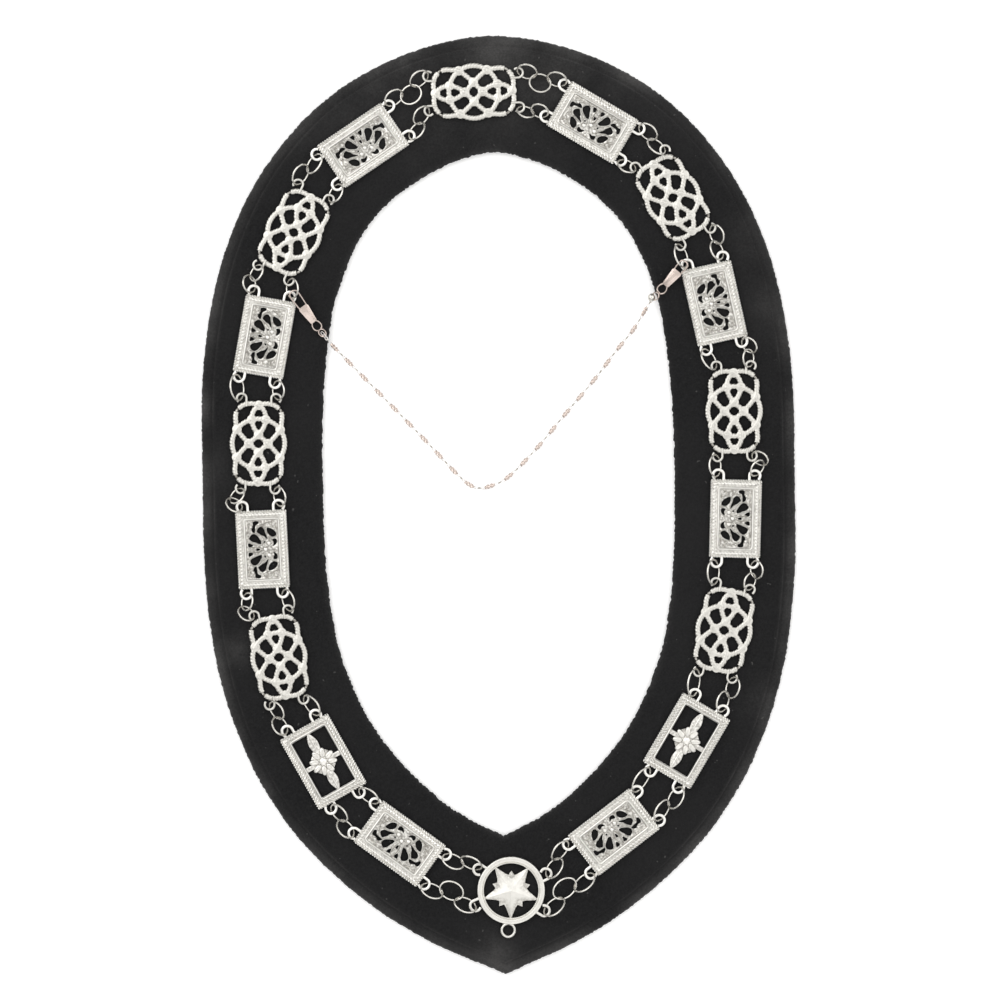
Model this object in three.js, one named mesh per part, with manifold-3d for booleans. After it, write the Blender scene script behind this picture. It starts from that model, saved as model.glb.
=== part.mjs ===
// A ceremonial chain collar laid flat: pierced metal plates joined by jump rings in a loop, on a padded
// velvet backing with an open neck, and a thin safety chain across the opening.
// Millimetres, +Z up. X runs across the collar, Y up its length to the nape, and the back lies on Z = 0.
import * as THREE from "three";
import { LoftGeometry } from "three/addons/geometries/LoftGeometry.js";
import { mergeVertices } from "three/addons/utils/BufferGeometryUtils.js";
import Module from "manifold-3d";

// Padded velvet: half sections from the tip at the bottom up to the nape, one row for each
const VELVET_SECTIONS = [
  { outerX: 0, outerY: -235, innerX: 0, innerY: -165.5 },
  { outerX: 38.8, outerY: -217.5, innerX: 16.5, innerY: -157.5 },
  { outerX: 69.5, outerY: -197.5, innerX: 31, innerY: -147.5 },
  { outerX: 101, outerY: -167.5, innerX: 51.5, innerY: -127.5 },
  { outerX: 121.3, outerY: -137.5, innerX: 66, innerY: -107.5 },
  { outerX: 134.3, outerY: -107.5, innerX: 75.5, innerY: -87.5 },
  { outerX: 142.5, outerY: -77.5, innerX: 81.8, innerY: -67.5 },
  { outerX: 147.5, outerY: -37.5, innerX: 86.3, innerY: -37.5 },
  { outerX: 148.3, outerY: 12.5, innerX: 88, innerY: 2.5 },
  { outerX: 147, outerY: 72.5, innerX: 86.5, innerY: 62.5 },
  { outerX: 137.5, outerY: 122.5, innerX: 80, innerY: 105 },
  { outerX: 120, outerY: 162.5, innerX: 66, innerY: 137 },
  { outerX: 96.8, outerY: 192.5, innerX: 52.5, innerY: 152.5 },
  { outerX: 72, outerY: 212.5, innerX: 39, innerY: 162.5 },
  { outerX: 37.5, outerY: 228.5, innerX: 18.8, innerY: 172.5 },
  { outerX: 0, outerY: 235, innerX: 0, innerY: 176.5 },
];
const VELVET_STEPS = 44;
// Velvet profile across a section, with a sewn seam inside the rolled outer border
const VELVET_PROFILE = [
  { edge: "outer", inset: 1.2, z: 0 },
  { edge: "outer", inset: 0, z: 1.8 },
  { edge: "outer", inset: 1.6, z: 4.9 },
  { edge: "outer", inset: 3.6, z: 5.4 },
  { edge: "outer", inset: 5.4, z: 4.9 },
  { edge: "outer", inset: 7.4, z: 6 },
  { edge: "inner", inset: 3.6, z: 6 },
  { edge: "inner", inset: 0, z: 3.4 },
  { edge: "inner", inset: 1, z: 0 },
];

// Plates and their lugs
const PLATE_Z = 6.3;
const PLATE_THICK = 2.4;
const PANEL_THICK = 1.2;
const PANEL_SINK = 0.2;
const PANEL_OVERLAP = 0.5;
const LUG_THICK = 0.6;
const LUG_Z = PLATE_Z + PLATE_THICK - LUG_THICK / 2;
const LUG_ROOT = 0.5;
const LUG_RIM_TURNS = [-90, -30, 30, 90];
const LUG_EYE_TURNS = [65, 0, -65];
const LUG_EYE_BULGE = 1.1;
const FLORAL = { length: 39.5, width: 26, windowLength: 29, windowWidth: 15.8 };
const FLORAL_LUG = { x: 21.6, y: 9.1, eye: 1.95, rim: 2.95 };
const EMBLEM = { length: 40.5, width: 28, windowLength: 30.8, windowWidth: 18.6 };
const EMBLEM_LUG = { x: 22.1, y: 8.1, eye: 1.95, rim: 2.95 };
const ROSETTE = { radius: 7, sides: 10, bottom: 0.2, thick: 1.2 };
const BOSS = { radius: 2.3, sides: 6, bottom: 0.4, thick: 1.8 };
const BAR = { width: 2.4, bottom: 0.3, thick: 1 };
const LEAF = { width: 5, bottom: 0.4, thick: 0.9 };
const KNOT_LUG = { x: 22.5, y: 8.6, eye: 1.8, rim: 2.55 };
const KNOT_END = 19.2;

// Openings of the right half of a leaf-fan panel, as closed curves
const PETAL_OPENING = [[3, 0.8], [3.8, 3.6], [5.4, 6], [7.4, 4.9], [6.4, 2.2]];
const OVAL_OPENING = [[6.5, -5.4], [7.6, -3.3], [10.2, -2.1], [9.7, -5], [7.4, -7]];

// Interlaced plate, upper right quarter: its outline and openings
const KNOT_OUTLINE = [[0, 14.4], [4, 13.3], [6.4, 11.5], [10, 12.8], [15.2, 12.5], [19, 9.8], [21, 6]];
const KNOT_CENTRE = 2.5;
const KNOT_DIAMOND = [[2, 4.6], [7.3, 8.7], [10, 4.9], [4.8, 1.9]];
const KNOT_SIDE = [[0, 6.8], [4.3, 10.7], [0, 11.8], [-4.3, 10.7]];
const KNOT_CRESCENT = [[10, 10.1], [12, 5.9], [18.5, 2.9], [17.6, 8.6], [14, 10.7]];

// Round plate at the tip: a star in a ring
const MEDALLION_OUTER = 17;
const MEDALLION_INNER = 13.9;
const MEDALLION_SIDES = 16;
const MEDALLION_LUG = { radius: 19.3, eye: 1.95, rim: 2.95 };
const MEDALLION_LUG_ROOT = 0.8;
const MEDALLION_LUG_ANGLES = { outNext: 22, inNext: -34, outLast: 148, inLast: 205 };
const STAR_POINTS = 5;
const STAR_TIP = 14.6;
const STAR_WAIST = 5.8;
const STAR_TURN = 88;
const STAR_BASE = 0.2;
const STAR_EDGE = 1;
const STAR_PEAK = 3;
const STAR_CROWN = 0.02;
const JEWEL_LOOP = { radius: 19.9, angle: 85, outer: 3.95, inner: 2.65, bottom: 0.6, thick: 1.2 };
const JEWEL_LOOP_SIDES = 10;
const JEWEL_EYE_SIDES = 8;

// The loop of plates, clockwise from the nape; angle turns each plate's +Y away from the neck.
// outer and inner count the jump rings of the two runs from a plate to the next one.
const PLATES = [
  { name: "knot_top", x: -9.7, y: 206.5, angle: 1.5, outer: 3, inner: 2 },
  { name: "floral_r1", x: 49.4, y: 190.3, angle: -31.3, outer: 2, inner: 1 },
  { name: "knot_r1", x: 89, y: 152.2, angle: -60.6, outer: 2, inner: 1 },
  { name: "floral_r2", x: 109, y: 99.2, angle: -78.1, outer: 2, inner: 1 },
  { name: "knot_r2", x: 118.1, y: 45.2, angle: -90.1, outer: 2, inner: 1 },
  { name: "floral_r3", x: 118, y: -8.5, angle: -92.2, outer: 2, inner: 1 },
  { name: "knot_r3", x: 111.5, y: -64.2, angle: -102.2, outer: 2, inner: 1 },
  { name: "emblem_r", x: 92, y: -119.1, angle: -121.2, outer: 2, inner: 1 },
  { name: "floral_r4", x: 55, y: -164.2, angle: -143.2, outer: 3, inner: 2 },
  { name: "medallion", x: 3.3, y: -192.6, angle: 180, outer: 3, inner: 2 },
  { name: "floral_l4", x: -52, y: -168.4, angle: 143.4, outer: 2, inner: 1 },
  { name: "emblem_l", x: -89.6, y: -126.9, angle: 118.7, outer: 2, inner: 1 },
  { name: "knot_l3", x: -111, y: -74.5, angle: 99.1, outer: 2, inner: 1 },
  { name: "floral_l3", x: -118.4, y: -20.5, angle: 92, outer: 2, inner: 1 },
  { name: "knot_l2", x: -119.7, y: 32.4, angle: 88.5, outer: 1, inner: 1 },
  { name: "floral_l2", x: -115.9, y: 85.7, angle: 79.3, outer: 2, inner: 1 },
  { name: "knot_l1", x: -100.6, y: 137.6, angle: 62.8, outer: 2, inner: 1 },
  { name: "floral_l1", x: -65.3, y: 180.6, angle: 33.3, outer: 3, inner: 2 },
];
const RING_RADIUS = 4.7;
const SMALL_RING_RADIUS = 3.7;
const RING_WIRE = 0.8;
const RING_SIDES = 10;
const WIRE_SIDES = 5;
const RING_LEAN = 50;
const SHORT_CHORD = 7;
const MIDDLE_LEAN = 15;
const RING_HOOK = 0.78;

// Safety chain and the flat clasps that carry it
const CHAIN_WIDTH = 2.2;
const CHAIN_SIDES = 8;
const CHAIN_STEPS = 36;
const CHAIN_ROUTE = [
  [-87.6, 88, 7.9], [-84.4, 83.6, 7], [-80.6, 79.4, 4.6], [-76.4, 75, 2.2], [-70, 68.2, 1.3],
  [-52, 49.4, 1.3], [-36, 32.4, 1.3], [-20, 15, 1.3], [-13.5, 9.4, 1.3], [-8, 8.6, 1.3], [-2, 10.2, 1.3],
  [4.2, 13.4, 1.3], [19.4, 28.2, 1.3], [34.2, 45.5, 1.3], [48, 61.3, 1.3], [61.6, 78.6, 1.3],
  [68, 86, 1.3], [71.6, 91.4, 2.2], [74.6, 96.6, 4.6], [77.4, 100.8, 7], [80.2, 103.8, 7.9],
];
const CLASP_THICK = 0.9;
const CLASP_LOWER = { left: [-89.7, 90.8, 7.5], right: [83, 106.8, 7.5] };
const CLASP_RINGS = { left: "rings_16_inner", right: "rings_03_inner" };
const CLASP_HOOK = 30;
// Half outlines of a clasp and its eyes, along its length from the centre of the lower or the upper eye
const CLASP_LOWER_END = [[-2.7, 0], [-1.6, 2], [0.2, 2.4], [2.6, 1.8], [11.6, 2.8]];
const CLASP_UPPER_END = [[1.6, 2.3], [3.6, 1.4]];
const CLASP_LOWER_EYE = [[2.1, 1], [0, 1.6], [-2.1, 0.8]];
const CLASP_UPPER_EYE = [[2.7, 1.2], [0, 2], [-2.7, 1]];

// Clean-up of joined solids
const WELD = 1e-4;
const SLIVER = 0.01;

const VELVET = new THREE.MeshStandardMaterial({ color: 0x2a292b, roughness: 1, metalness: 0 });
const SILVER = new THREE.MeshStandardMaterial({ color: 0xdcdad4, roughness: 0.32, metalness: 1 });
const ROSE_SILVER = new THREE.MeshStandardMaterial({ color: 0xd9c6bd, roughness: 0.3, metalness: 1 });

const wasm = await Module();
wasm.setup();

const radians = THREE.MathUtils.degToRad;
const UP = new THREE.Vector3(0, 0, 1);

function solidOf(geometry) {
  const bare = new THREE.BufferGeometry();
  const flat = geometry.index ? geometry.toNonIndexed() : geometry;
  bare.setAttribute("position", flat.getAttribute("position"));
  const merged = mergeVertices(bare, WELD);
  const vertProperties = merged.getAttribute("position").array;
  const triVerts = new Uint32Array(merged.index.array);
  return new wasm.Manifold(new wasm.Mesh({ numProp: 3, vertProperties, triVerts }));
}

function geometryOf(solid) {
  const mesh = solid.getMesh();
  const geometry = new THREE.BufferGeometry();
  geometry.setAttribute("position", new THREE.BufferAttribute(mesh.vertProperties, 3));
  geometry.setIndex(new THREE.BufferAttribute(mesh.triVerts, 1));
  return geometry;
}

function joined(geometries) {
  const solids = geometries.map(solidOf);
  return geometryOf(solids.reduce((whole, next) => whole.add(next)).asOriginal().simplify(SLIVER));
}

function extruded(shape, bottom, thick) {
  const geometry = new THREE.ExtrudeGeometry(shape, { depth: thick, bevelEnabled: false });
  return geometry.translate(0, 0, bottom);
}

function polygon(points) {
  return new THREE.Path(points.map(([x, y]) => new THREE.Vector2(x, y)));
}

function shapeOf(points, holes = []) {
  const shape = new THREE.Shape(points.map(([x, y]) => new THREE.Vector2(x, y)));
  shape.holes.push(...holes.map(polygon));
  return shape;
}

const mirrorX = (points) => points.map(([x, y]) => [-x, y]).reverse();
const mirrorY = (points) => points.map(([x, y]) => [x, -y]).reverse();
const fourWays = (points) => [points, mirrorX(points), mirrorY(points), mirrorX(mirrorY(points))];

function rectangle(length, width) {
  const x = length / 2;
  const y = width / 2;
  return [[x, -y], [x, y], [-x, y], [-x, -y]];
}

function arc(radius, turns) {
  return turns.map((turn) => [radius * Math.cos(radians(turn)), radius * Math.sin(radians(turn))]);
}

function regular(sides, radius) {
  return arc(radius, Array.from({ length: sides }, (_, k) => (360 * k) / sides));
}

// A closed oval ring of wire, lofted through one section for each of its sides
function wireRing(halfLength, halfWidth, wire) {
  const sections = [];
  for (let i = 0; i <= RING_SIDES; i++) {
    const around = radians((360 * (i % RING_SIDES)) / RING_SIDES + 90);
    const out = new THREE.Vector3(Math.cos(around), Math.sin(around), 0);
    const centre = new THREE.Vector3(halfLength * out.x, halfWidth * out.y, 0);
    const points = [];
    for (let j = 0; j < WIRE_SIDES; j++) {
      const turn = Math.PI - (2 * Math.PI * j) / WIRE_SIDES;
      const offset = out.clone().multiplyScalar((Math.cos(turn) * wire) / 2);
      points.push(centre.clone().add(offset).setZ((Math.sin(turn) * wire) / 2));
    }
    sections.push(points);
  }
  return new LoftGeometry(sections);
}

// A bent lug on the end of a plate: a round rim on two legs that reach back into the plate
function lug({ eye, rim }, reach) {
  const outside = [[-reach, -rim], ...arc(rim, LUG_RIM_TURNS), [-reach, rim]];
  const inside = [[-reach, eye], ...arc(LUG_EYE_BULGE * eye, LUG_EYE_TURNS), [-reach, -eye]];
  return extruded(shapeOf([...outside, ...inside]), LUG_Z - PLATE_Z - LUG_THICK / 2, LUG_THICK);
}

function endLugs(size, plateEnd) {
  const reach = size.x - plateEnd + LUG_ROOT;
  const right = (y) => lug(size, reach).translate(size.x, y, 0);
  const left = (y) => right(y).rotateZ(Math.PI);
  return [right(size.y), right(-size.y), left(size.y), left(-size.y)];
}

const endLugPlaces = (size) => ({
  outNext: [size.x, size.y],
  inNext: [size.x, -size.y],
  outLast: [-size.x, size.y],
  inLast: [-size.x, -size.y],
});

function framedPlate({ length, width, windowLength, windowWidth }) {
  const frame = shapeOf(rectangle(length, width), [rectangle(windowLength, windowWidth)]);
  return extruded(frame, 0, PLATE_THICK);
}

function floralPlate() {
  const openings = [PETAL_OPENING, OVAL_OPENING].flatMap((half) => [half, mirrorX(half)]);
  const length = FLORAL.windowLength + 2 * PANEL_OVERLAP;
  const width = FLORAL.windowWidth + 2 * PANEL_OVERLAP;
  const panel = extruded(shapeOf(rectangle(length, width), openings), PANEL_SINK, PANEL_THICK);
  return joined([framedPlate(FLORAL), panel, ...endLugs(FLORAL_LUG, FLORAL.length / 2)]);
}

// An openwork plate: a rosette with a raised boss, held in a frame by two bars and two leaves
function emblemPlate() {
  const disc = extruded(shapeOf(regular(ROSETTE.sides, ROSETTE.radius)), ROSETTE.bottom, ROSETTE.thick);
  const boss = extruded(shapeOf(regular(BOSS.sides, BOSS.radius)), BOSS.bottom, BOSS.thick);
  const barLength = EMBLEM.windowWidth + 2 * PANEL_OVERLAP;
  const bars = extruded(shapeOf(rectangle(BAR.width, barLength)), BAR.bottom, BAR.thick);
  const tip = EMBLEM.windowLength / 2 + PANEL_OVERLAP;
  const middle = (tip + ROSETTE.radius) / 2;
  const leafHalf = [[tip, 0], [middle, LEAF.width / 2], [-middle, LEAF.width / 2], [-tip, 0]];
  const leafOutline = [...leafHalf, ...mirrorY(leafHalf.slice(1, -1))];
  const leaves = extruded(shapeOf(leafOutline), LEAF.bottom, LEAF.thick);
  const lugs = endLugs(EMBLEM_LUG, EMBLEM.length / 2);
  return joined([framedPlate(EMBLEM), disc, boss, bars, leaves, ...lugs]);
}

function knotPlate() {
  const right = [...KNOT_OUTLINE, ...mirrorY(KNOT_OUTLINE)];
  const outline = [...right, ...mirrorX(right.slice(1, -1))].reverse();
  const holes = [
    regular(4, KNOT_CENTRE),
    KNOT_SIDE,
    mirrorY(KNOT_SIDE),
    ...fourWays(KNOT_DIAMOND),
    ...fourWays(KNOT_CRESCENT),
  ];
  return joined([extruded(shapeOf(outline, holes), 0, PLATE_THICK), ...endLugs(KNOT_LUG, KNOT_END)]);
}

function starOutline(scale, z) {
  const points = [];
  for (let k = 0; k < 2 * STAR_POINTS; k++) {
    const radius = (k % 2 ? STAR_WAIST : STAR_TIP) * scale;
    const around = radians(STAR_TURN + (180 * k) / STAR_POINTS);
    points.push(new THREE.Vector3(radius * Math.cos(around), radius * Math.sin(around), z));
  }
  return points;
}

function medallionPlate() {
  const inside = regular(MEDALLION_SIDES, MEDALLION_INNER);
  const band = extruded(shapeOf(regular(MEDALLION_SIDES, MEDALLION_OUTER), [inside]), 0, PLATE_THICK);
  const sections = [
    starOutline(1, STAR_BASE),
    starOutline(1, STAR_EDGE),
    starOutline(STAR_CROWN, STAR_PEAK),
  ];
  const star = new LoftGeometry(sections, { capStart: true, capEnd: true });
  const reach = MEDALLION_LUG.radius - MEDALLION_OUTER + MEDALLION_LUG_ROOT;
  const lugs = Object.values(MEDALLION_LUG_ANGLES).map((angle) =>
    lug(MEDALLION_LUG, reach).translate(MEDALLION_LUG.radius, 0, 0).rotateZ(radians(angle)),
  );
  const eye = regular(JEWEL_EYE_SIDES, JEWEL_LOOP.inner);
  const loopShape = shapeOf(regular(JEWEL_LOOP_SIDES, JEWEL_LOOP.outer), [eye]);
  const loop = extruded(loopShape, JEWEL_LOOP.bottom, JEWEL_LOOP.thick);
  loop.translate(JEWEL_LOOP.radius, 0, 0).rotateZ(radians(JEWEL_LOOP.angle));
  return joined([band, star, ...lugs, loop]);
}

function medallionLugPlaces() {
  const places = Object.entries(MEDALLION_LUG_ANGLES);
  return Object.fromEntries(places.map(([key, angle]) => [key, arc(MEDALLION_LUG.radius, [angle])[0]]));
}

const PLATE_KINDS = {
  knot: { geometry: knotPlate(), lugs: endLugPlaces(KNOT_LUG) },
  floral: { geometry: floralPlate(), lugs: endLugPlaces(FLORAL_LUG) },
  emblem: { geometry: emblemPlate(), lugs: endLugPlaces(EMBLEM_LUG) },
  medallion: { geometry: medallionPlate(), lugs: medallionLugPlaces() },
};
const kindOf = (plate) => PLATE_KINDS[plate.name.split("_")[0]];

// Centre of one of a plate's lug eyes in the collar's frame
function lugPlace(plate, key) {
  const [x, y] = kindOf(plate).lugs[key];
  const turned = new THREE.Vector3(x, y, 0).applyAxisAngle(UP, radians(plate.angle));
  return turned.add(new THREE.Vector3(plate.x, plate.y, LUG_Z));
}

// Frame of one leaning ring between two hooking points: its centre, axes and half sizes
function ringFrame(from, to, side, lean) {
  const along = to.clone().sub(from);
  const chord = along.length();
  along.normalize();
  const outward = new THREE.Vector3(-along.y, along.x, 0).multiplyScalar(side * Math.cos(radians(lean)));
  const across = outward.setZ(Math.sin(radians(lean)));
  const halfLength = Math.max(chord / Math.sqrt(3), SMALL_RING_RADIUS);
  const halfWidth = Math.min(halfLength, RING_RADIUS);
  const rise = halfWidth * Math.sqrt(1 - (chord / halfLength / 2) ** 2);
  const centre = from.clone().add(to).multiplyScalar(0.5).addScaledVector(across, rise);
  return { centre, along, across, halfLength, halfWidth };
}

function placedRing({ centre, along, across, halfLength, halfWidth }) {
  const normal = new THREE.Vector3().crossVectors(along, across);
  const matrix = new THREE.Matrix4().makeBasis(along, across, normal).setPosition(centre);
  return wireRing(halfLength, halfWidth, RING_WIRE).applyMatrix4(matrix);
}

// Rings from one lug to the next, leaning to alternate sides, each hooked through its neighbour.
// Where the lugs stand close, the middle of a pair of rings bulges away from the neck.
function ringFrames(from, to, count, firstSide) {
  const step = to.clone().sub(from).divideScalar(count);
  const hook = RING_HOOK * RING_WIRE;
  const joints = Array.from({ length: count + 1 }, (_, k) => from.clone().addScaledVector(step, k));
  if (count === 2 && step.length() < SHORT_CHORD) {
    const bulge = Math.sqrt(SHORT_CHORD ** 2 - step.lengthSq());
    joints[1].addScaledVector(new THREE.Vector3(-step.y, step.x, 0).normalize(), bulge);
  }
  return joints.slice(1).map((end, k) => {
    const along = end.clone().sub(joints[k]).setLength(hook);
    const first = k === 0;
    const last = k === count - 1;
    const start = first ? joints[k] : joints[k].clone().sub(along);
    const stop = last ? end : end.clone().add(along);
    return ringFrame(start, stop, k % 2 ? -firstSide : firstSide, first || last ? RING_LEAN : MIDDLE_LEAN);
  });
}

const collar = new THREE.Group();

function addMesh(name, geometry, material) {
  const mesh = new THREE.Mesh(geometry, material);
  mesh.name = name;
  collar.add(mesh);
  return mesh;
}

// Velvet backing, lofted round the neck from the tip and back to it
function velvetBacking() {
  const point = (edge) => (row) => new THREE.Vector3(row[edge + "X"], row[edge + "Y"], 0);
  const around = (edge) => {
    const right = VELVET_SECTIONS.map(point(edge));
    const left = right.slice(0, -1).reverse();
    return new THREE.CatmullRomCurve3([...right, ...left.map((p) => new THREE.Vector3(-p.x, p.y, 0))]);
  };
  const curves = { outer: around("outer"), inner: around("inner") };
  const sections = [];
  for (let i = 0; i <= VELVET_STEPS; i++) {
    const outer = curves.outer.getPoint(i / VELVET_STEPS);
    const inner = curves.inner.getPoint(i / VELVET_STEPS);
    const inward = inner.clone().sub(outer).normalize();
    const profile = VELVET_PROFILE.map(({ edge, inset, z }) => {
      const fromOuter = edge === "outer";
      const place = (fromOuter ? outer : inner).clone();
      return place.addScaledVector(inward, fromOuter ? inset : -inset).setZ(z);
    });
    sections.push(profile);
  }
  return new LoftGeometry(sections.reverse());
}

addMesh("velvet_backing", velvetBacking(), VELVET);

for (const plate of PLATES) {
  const mesh = addMesh(plate.name, kindOf(plate).geometry, SILVER);
  mesh.position.set(plate.x, plate.y, PLATE_Z);
  mesh.rotation.z = radians(plate.angle);
}

const ringRuns = new Map();
PLATES.forEach((plate, i) => {
  const next = PLATES[(i + 1) % PLATES.length];
  const gap = String(i + 1).padStart(2, "0");
  const runs = [
    { side: "outer", from: "outNext", to: "outLast", lean: 1 },
    { side: "inner", from: "inNext", to: "inLast", lean: -1 },
  ];
  for (const { side, from, to, lean } of runs) {
    const name = "rings_" + gap + "_" + side;
    const frames = ringFrames(lugPlace(plate, from), lugPlace(next, to), plate[side], lean);
    ringRuns.set(name, frames);
    addMesh(name, joined(frames.map(placedRing)), SILVER);
  }
});

// Safety chain, as one tube along its route
const chainSection = shapeOf(regular(CHAIN_SIDES, CHAIN_WIDTH / 2));
const chainRoute = new THREE.CatmullRomCurve3(CHAIN_ROUTE.map((p) => new THREE.Vector3(...p)));
const chainOptions = { steps: CHAIN_STEPS, extrudePath: chainRoute, bevelEnabled: false };
addMesh("safety_chain", new THREE.ExtrudeGeometry(chainSection, chainOptions), ROSE_SILVER);

// A flat clasp along +X from its lower eye, with a wide eye at the far end
function claspOutline(length) {
  const half = [...CLASP_LOWER_END, ...CLASP_UPPER_END.map(([x, y]) => [length + x, y])];
  return [...half, ...mirrorY(half.slice(1))].reverse();
}

function claspEye(half, centre) {
  const moved = half.map(([x, y]) => [centre + x, y]);
  return [...moved, ...mirrorY(moved)];
}

for (const side of ["left", "right"]) {
  const ring = ringRuns.get(CLASP_RINGS[side])[0];
  const towardsFloral = side === "right" ? 1 : -1;
  const lower = new THREE.Vector3(...CLASP_LOWER[side]);
  const upper = ring.centre.clone();
  upper.addScaledVector(ring.along, towardsFloral * ring.halfLength * Math.cos(radians(CLASP_HOOK)));
  upper.addScaledVector(ring.across, ring.halfWidth * Math.sin(radians(CLASP_HOOK)));
  const along = upper.clone().sub(lower);
  const length = along.length();
  along.normalize();
  const across = UP.clone().cross(along).normalize();
  const normal = new THREE.Vector3().crossVectors(along, across);
  const eyes = [claspEye(CLASP_LOWER_EYE, 0), claspEye(CLASP_UPPER_EYE, length)];
  const body = extruded(shapeOf(claspOutline(length), eyes), -CLASP_THICK / 2, CLASP_THICK);
  const matrix = new THREE.Matrix4().makeBasis(along, across, normal).setPosition(lower);
  addMesh("clasp_" + side, body.applyMatrix4(matrix), ROSE_SILVER);
}

export default collar;
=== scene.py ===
"""Looks of a ceremonial chain collar: velvet, cast plates, jump rings, safety chain and clasps.

Shapes are worked out in millimetres in the frame of the part, and meshes are made in metres.
"""

import math
from collections import namedtuple

import bmesh
import bpy
import numpy as np
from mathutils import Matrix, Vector, noise


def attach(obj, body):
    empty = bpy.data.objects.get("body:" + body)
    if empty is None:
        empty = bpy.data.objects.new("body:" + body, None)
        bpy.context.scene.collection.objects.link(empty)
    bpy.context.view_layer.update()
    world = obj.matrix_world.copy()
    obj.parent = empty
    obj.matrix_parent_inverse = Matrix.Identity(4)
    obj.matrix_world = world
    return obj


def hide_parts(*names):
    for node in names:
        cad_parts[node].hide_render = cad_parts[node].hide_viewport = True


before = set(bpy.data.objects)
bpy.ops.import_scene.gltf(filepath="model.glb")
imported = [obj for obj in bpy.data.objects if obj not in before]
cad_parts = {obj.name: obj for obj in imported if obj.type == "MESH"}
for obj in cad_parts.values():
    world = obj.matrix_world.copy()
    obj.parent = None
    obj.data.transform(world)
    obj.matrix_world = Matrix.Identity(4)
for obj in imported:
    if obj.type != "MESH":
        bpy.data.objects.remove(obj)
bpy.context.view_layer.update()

MM = 0.001
UP = np.array([0.0, 0.0, 1.0])
# Lengths at which directions vanish and points count as one
TINY = 1e-9
NEAR = 1e-4

# Camera and stage in millimetres, but the camera's far limit and the lamps in metres
CAMERA_AT = (0.536, 2.493, 2000)
CAMERA_ROLL = -0.82
CAMERA_LENS = 143.6
CAMERA_FAR = 20
FLOOR_HALF = 4000
FLOOR_Z = -0.15
FLOOR_COLOURS = ((0.93, 0.93, 0.93), (0.95, 0.95, 0.95))
FLOOR_GLOW = 0.2
Light = namedtuple("Light", "name at energy size")
LIGHTS = [
    Light("key", (-1.2, 1, 1.7), 24, 2.4),
    Light("fill", (1.5, 0.6, 1.7), 15, 2.4),
    Light("front", (0.1, -1.6, 1.6), 10, 2.4),
]
# Colour of the sky from near the horizon up
Sky = namedtuple("Sky", "height colour")
SKY = [Sky(0.15, (0.32, 0.32, 0.32, 1)), Sky(0.95, (0.92, 0.915, 0.9, 1))]

# Metals: colour of the high places and the painted shade of the recesses, the heights of both, and roughness
# from and to
Metal = namedtuple("Metal", "bright dull low high smooth rough")
METALS = {
    "silver": Metal((0.84, 0.825, 0.785), (0.22, 0.205, 0.185), 6.75, 8.15, 0.27, 0.42),
    "medal_silver": Metal((0.72, 0.705, 0.665), (0.22, 0.205, 0.185), 6.5, 8, 0.3, 0.44),
    # Painted shade: the knot plates get a darker copy of the plate silver, so their round strands don't shine
    # too bright
    "knot_silver": Metal((0.62, 0.605, 0.565), (0.2, 0.185, 0.165), 6.5, 8.1, 0.27, 0.42),
    # Painted shade: thin wire gets a darker, greyer copy of the silver, darkest low down, at and below the
    # velvet's top
    "wire_silver": Metal((0.7, 0.68, 0.635), (0.36, 0.33, 0.29), 5.8, 6.6, 0.18, 0.32),
    # Painted highlight: the bar eyes and loose chain links get a lighter copy of the silver, for the glare on
    # them
    "link_silver": Metal((0.92, 0.89, 0.87), (0.78, 0.72, 0.68), -0.2, 1.2, 0.2, 0.34),
    "rose_silver": Metal((0.64, 0.545, 0.495), (0.36, 0.28, 0.24), -0.2, 1.4, 0.16, 0.3),
}
PLATE_METALS = {"floral": "silver", "emblem": "silver", "knot": "knot_silver", "medallion": "medal_silver"}
WIRE_SIDES = 10

# Plates in their loop, clockwise from the nape, with the jump rings of the two runs to the next plate
Plate = namedtuple("Plate", "name x y angle outer inner")
PLATES = [
    Plate("knot_top", -9.7, 206.5, 1.5, 3, 2),
    Plate("floral_r1", 49.4, 190.3, -31.3, 2, 1),
    Plate("knot_r1", 89, 152.2, -60.6, 2, 1),
    Plate("floral_r2", 109, 99.2, -78.1, 2, 1),
    Plate("knot_r2", 118.1, 45.2, -90.1, 2, 1),
    Plate("floral_r3", 118, -8.5, -92.2, 2, 1),
    Plate("knot_r3", 111.5, -64.2, -102.2, 2, 1),
    Plate("emblem_r", 92, -119.1, -121.2, 2, 1),
    Plate("floral_r4", 55, -164.2, -143.2, 3, 2),
    Plate("medallion", 3.3, -192.6, 180, 3, 2),
    Plate("floral_l4", -52, -168.4, 143.4, 2, 1),
    Plate("emblem_l", -89.6, -126.9, 118.7, 2, 1),
    Plate("knot_l3", -111, -74.5, 99.1, 2, 1),
    Plate("floral_l3", -118.4, -20.5, 92, 2, 1),
    Plate("knot_l2", -119.7, 32.4, 88.5, 1, 1),
    Plate("floral_l2", -115.9, 85.7, 79.3, 2, 1),
    Plate("knot_l1", -100.6, 137.6, 62.8, 2, 1),
    Plate("floral_l1", -65.3, 180.6, 33.3, 3, 2),
]
PLATE_Z = 6.3
PLATE_THICK = 2.4
LUG_UP = 2.1
LUG_Z = PLATE_Z + LUG_UP
LUG_HEIGHT = 1.1
LUG_EXTRA = 0.45
LUG_CURL = 150
LUG_CURL_STEP = 12
LUG_SPACING = 0.35
Lug = namedtuple("Lug", "x y eye rim root")
LUGS = {
    "floral": Lug(21.6, 9.1, 1.95, 2.95, 19.3),
    "emblem": Lug(22.1, 8.1, 1.95, 2.95, 19.8),
    "knot": Lug(22.5, 8.6, 1.8, 2.55, 18.6),
    "medallion": Lug(19.3, 0, 1.95, 2.95, 16.4),
}
MEDALLION_LUG_ANGLES = {"out_next": 22, "in_next": -34, "out_last": 148, "in_last": 205}

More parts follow.
